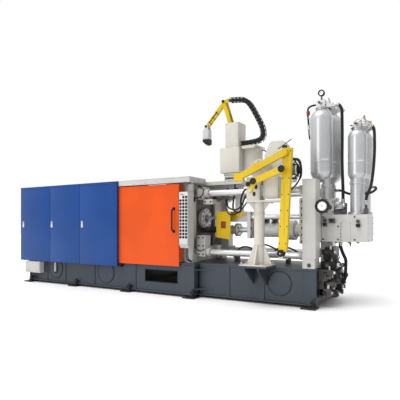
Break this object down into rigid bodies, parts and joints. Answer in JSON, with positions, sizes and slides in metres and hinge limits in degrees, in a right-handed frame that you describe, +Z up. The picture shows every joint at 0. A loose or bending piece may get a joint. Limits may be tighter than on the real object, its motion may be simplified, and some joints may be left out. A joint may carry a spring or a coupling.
{
  "type": "die casting machine",
  "caption": "Horizontal cold-chamber die casting machine with hinged covers, a sliding guard, a ladling arm, a spraying arm and pressure bottles on a welded bed.",
  "frame": {"origin": "floor level on the centre line, midway between the four corner anchor bolts of the wide part of the bed", "axes": "+X along the bed towards the shot unit, -Y the operator side, +Z up"},
  "size_m": [6.8191, 1.906, 3.3081],
  "materials": {
    "bed_slate": "semi gloss slate-grey paint",
    "foot_black": "satin black",
    "cover_blue": "semi gloss blue paint",
    "guard_orange": "semi gloss orange paint",
    "handle_black": "matt black",
    "light_grey": "semi gloss light grey paint",
    "beige": "semi gloss beige paint",
    "white_steel": "white painted casting",
    "dark_steel": "machined, oily",
    "rod_chrome": "ground and plated",
    "nut_steel": "turned steel",
    "bottle_silver": "silver paint",
    "arm_yellow": "gloss yellow paint",
    "head_white": "light grey paint",
    "rubber_black": "black"
  },
  "bodies": {
    "machine": {"accumulator_heads": "nut_steel", "accumulators": "bottle_silver", "bed_cross_plates": "bed_slate", "bed_end_hydraulics": "dark_steel", "bed_ribs": "bed_slate", "bed_side_plates": "bed_slate", "bed_top_plate": "bed_slate", "cable_chain": "rubber_black", "centre_rod_unit": "light_grey", "control_panel": "light_grey", "cover_frame": "cover_blue", "cover_shell": "cover_blue", "door_rails": "foot_black", "electrical_box": "light_grey", "end_columns": "light_grey", "end_plate": "light_grey", "fixed_platen": "light_grey", "gauges": "rubber_black", "guard_canopy": "light_grey", "hydraulic_hoses": "rubber_black", "ladler_bracket": "bed_slate", "ladler_housings": "beige", "ladler_post": "beige", "levelling_feet": "foot_black", "machine_cables": "rubber_black", "manifold_block": "light_grey", "manifold_valves": "dark_steel", "moving_platen": "light_grey", "panel_buttons": "handle_black", "platen_ring": "white_steel", "rear_covers": "cover_blue", "rear_guard": "guard_orange", "rear_platen": "light_grey", "rod_brackets": "light_grey", "shot_cylinder": "white_steel", "shot_frame_rods": "rod_chrome", "shot_sleeve": "dark_steel", "sleeve_guard": "arm_yellow", "sprayer_boxes": "beige", "sprayer_housing": "beige", "sprayer_table": "light_grey", "tie_bar_nuts": "nut_steel", "tie_bars": "rod_chrome", "toggle_mechanism": "dark_steel"},
    "safety_door": {"safety_door": "guard_orange", "door_handle": "handle_black", "door_rollers": "foot_black"},
    "cover_door_1": {"cover_door_1": "cover_blue"},
    "cover_door_2": {"cover_door_2": "cover_blue"},
    "cover_door_3": {"cover_door_3": "cover_blue"},
    "ladler_lower_arm": {"ladler_lower_arm": "arm_yellow"},
    "ladler_upper_arm": {"ladler_upper_arm": "arm_yellow"},
    "ladler_forearm": {"ladler_forearm": "arm_yellow", "tilt_drive": "foot_black"},
    "ladle_bracket": {"ladle_bracket": "beige"},
    "spray_lower_arm": {"spray_lower_arm": "arm_yellow"},
    "spray_upper_arm": {"spray_upper_arm": "arm_yellow"},
    "spray_head": {"spray_head": "head_white", "spray_nozzles": "rubber_black"},
    "shot_rod": {"shot_rod": "rod_chrome"}
  },
  "joints": [
    {"name": "safety_door_slide", "type": "slide", "parent": "machine", "child": "safety_door", "axis": [-1, 0, 0], "range_m": [0, 1.13]},
    {"name": "cover_door_1_hinge", "type": "hinge", "parent": "machine", "child": "cover_door_1", "pos_m": [-1.2655, -0.84, 1.2], "axis": [0, 0, 1], "range_deg": [0, 90]},
    {"name": "cover_door_2_hinge", "type": "hinge", "parent": "machine", "child": "cover_door_2", "pos_m": [-0.4455, -0.84, 1.2], "axis": [0, 0, 1], "range_deg": [0, 90]},
    {"name": "cover_door_3_hinge", "type": "hinge", "parent": "machine", "child": "cover_door_3", "pos_m": [0.4865, -0.84, 1.2], "axis": [0, 0, 1], "range_deg": [0, 90]},
    {"name": "ladler_swing", "type": "hinge", "parent": "machine", "child": "ladler_lower_arm", "pos_m": [3.194, -1.037, 1.778], "axis": [0, -1, 0], "range_deg": [-20, 35]},
    {"name": "forearm_level", "type": "hinge", "parent": "ladler_lower_arm", "child": "ladler_forearm", "pos_m": [3.604, -0.97, 1.922], "axis": [0, -1, 0], "range_deg": [-36, 21]},
    {"name": "ladler_guide_swing", "type": "hinge", "parent": "machine", "child": "ladler_upper_arm", "pos_m": [3.205, -0.97, 2.007], "axis": [0, -1, 0], "range_deg": [-21, 36]},
    {"name": "ladle_tilt", "type": "hinge", "parent": "ladler_forearm", "child": "ladle_bracket", "pos_m": [3.549, -0.945, 0.78], "axis": [0, -1, 0], "range_deg": [-45, 45]},
    {"name": "spray_shoulder", "type": "hinge", "parent": "machine", "child": "spray_lower_arm", "pos_m": [2.411, -0.13, 2.8], "axis": [0, -1, 0], "range_deg": [-12, 25], "deforming": ["cable_chain"]},
    {"name": "spray_elbow", "type": "hinge", "parent": "spray_lower_arm", "child": "spray_upper_arm", "pos_m": [2.268, -0.13, 3.243], "axis": [0, -1, 0], "range_deg": [-51, 25]},
    {"name": "spray_wrist", "type": "hinge", "parent": "spray_upper_arm", "child": "spray_head", "pos_m": [1.927, -0.13, 2.869], "axis": [0, -1, 0], "range_deg": [-13, 26]},
    {"name": "shot_stroke", "type": "slide", "parent": "machine", "child": "shot_rod", "axis": [-1, 0, 0], "range_m": [0, 0.28]}
  ],
  "couplings": [
    {"joint": "forearm_level", "follows": "ladler_swing", "ratio": -1},
    {"joint": "ladler_guide_swing", "follows": "ladler_swing", "ratio": 1},
    {"joint": "spray_elbow", "follows": "spray_shoulder", "ratio": -2},
    {"joint": "spray_wrist", "follows": "spray_shoulder", "ratio": 1}
  ]
}
